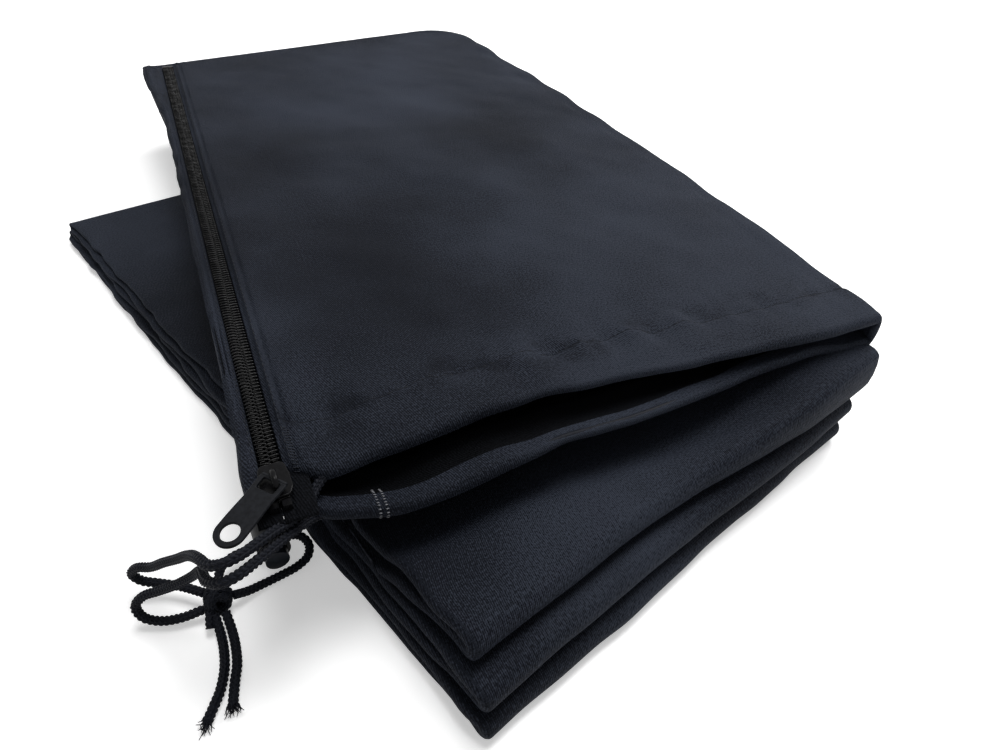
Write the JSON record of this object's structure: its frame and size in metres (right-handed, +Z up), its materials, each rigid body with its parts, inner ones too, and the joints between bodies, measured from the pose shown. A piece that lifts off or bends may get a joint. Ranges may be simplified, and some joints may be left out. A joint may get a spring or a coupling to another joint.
{
  "type": "drawcord bag",
  "caption": "Long soft bag of thin dark woven cloth with a side zip, drawcord mouth, cord lock and bow, stored folded flat.",
  "frame": {"origin": "middle of the underside of the folded cloth's box, on the surface it lies on", "axes": "+Y along the zip from the mouth to the rear fold, +X across the mouth away from the zip, +Z up"},
  "size_m": [0.3088, 0.5002, 0.062],
  "materials": {
    "cloth": "thin plain-woven polyester with a slight sheen",
    "seam": "turned and stitched cloth edges",
    "zip_tape": "ribbed woven tape",
    "zip_coil": "monofilament coil",
    "zip_stop": "black enamel",
    "slider": "black enamel, worn on the bridge",
    "pull_tab": "matte black enamel",
    "thread": "polyester thread",
    "cord": "round braid",
    "lock_barrel": "moulded",
    "lock_button": "moulded",
    "lock_spring": "wire"
  },
  "bodies": {
    "bag": {"front_panel": "cloth", "back_panel": "cloth", "front_hem_casing": "cloth", "back_hem_casing": "cloth", "hem_side_turn": "cloth", "side_seam": "seam", "rear_fold": "cloth", "second_leaf": "cloth", "upper_fold": "cloth", "middle_fold": "cloth", "bottom_fold": "cloth", "end_seam": "seam", "bartacks": "thread", "zip_tape_left": "zip_tape", "zip_tape_right": "zip_tape", "zip_coil_left": "zip_coil", "zip_coil_right": "zip_coil", "zip_top_stops": "zip_stop", "zip_bottom_stop": "zip_stop", "drawcord_in_hem": "cord", "cord_loop_zip_side": "cord", "cord_loop_front": "cord", "cord_loop_lock": "cord", "cord_tail_left": "cord", "cord_tail_right": "cord", "cord_knot": "cord"},
    "slider": {"slider_body": "slider"},
    "tab": {"pull_tab": "pull_tab"},
    "cord_lock": {"lock_barrel": "lock_barrel", "lock_spring": "lock_spring"},
    "lock_plunger": {"lock_button": "lock_button"}
  },
  "joints": [
    {"name": "zip_slide", "type": "slide", "parent": "bag", "child": "slider", "axis": [0, 1, 0], "range_m": [0, 0.368]},
    {"name": "pull_swing", "type": "hinge", "parent": "slider", "child": "tab", "pos_m": [-0.08265, -0.18495, 0.0596], "axis": [-0.6428, 0.766, 0], "range_deg": [0, 165]},
    {"name": "lock_slide", "type": "slide", "parent": "bag", "child": "cord_lock", "axis": [-0.9976, -0.0698, 0], "range_m": [0, 0.006]},
    {"name": "lock_press", "type": "slide", "parent": "cord_lock", "child": "lock_plunger", "axis": [-0.0698, 0.9976, 0], "range_m": [0, 0.003], "stiffness_N_per_m": 600, "springref_m": -0.002, "deforming": ["lock_spring"]}
  ]
}
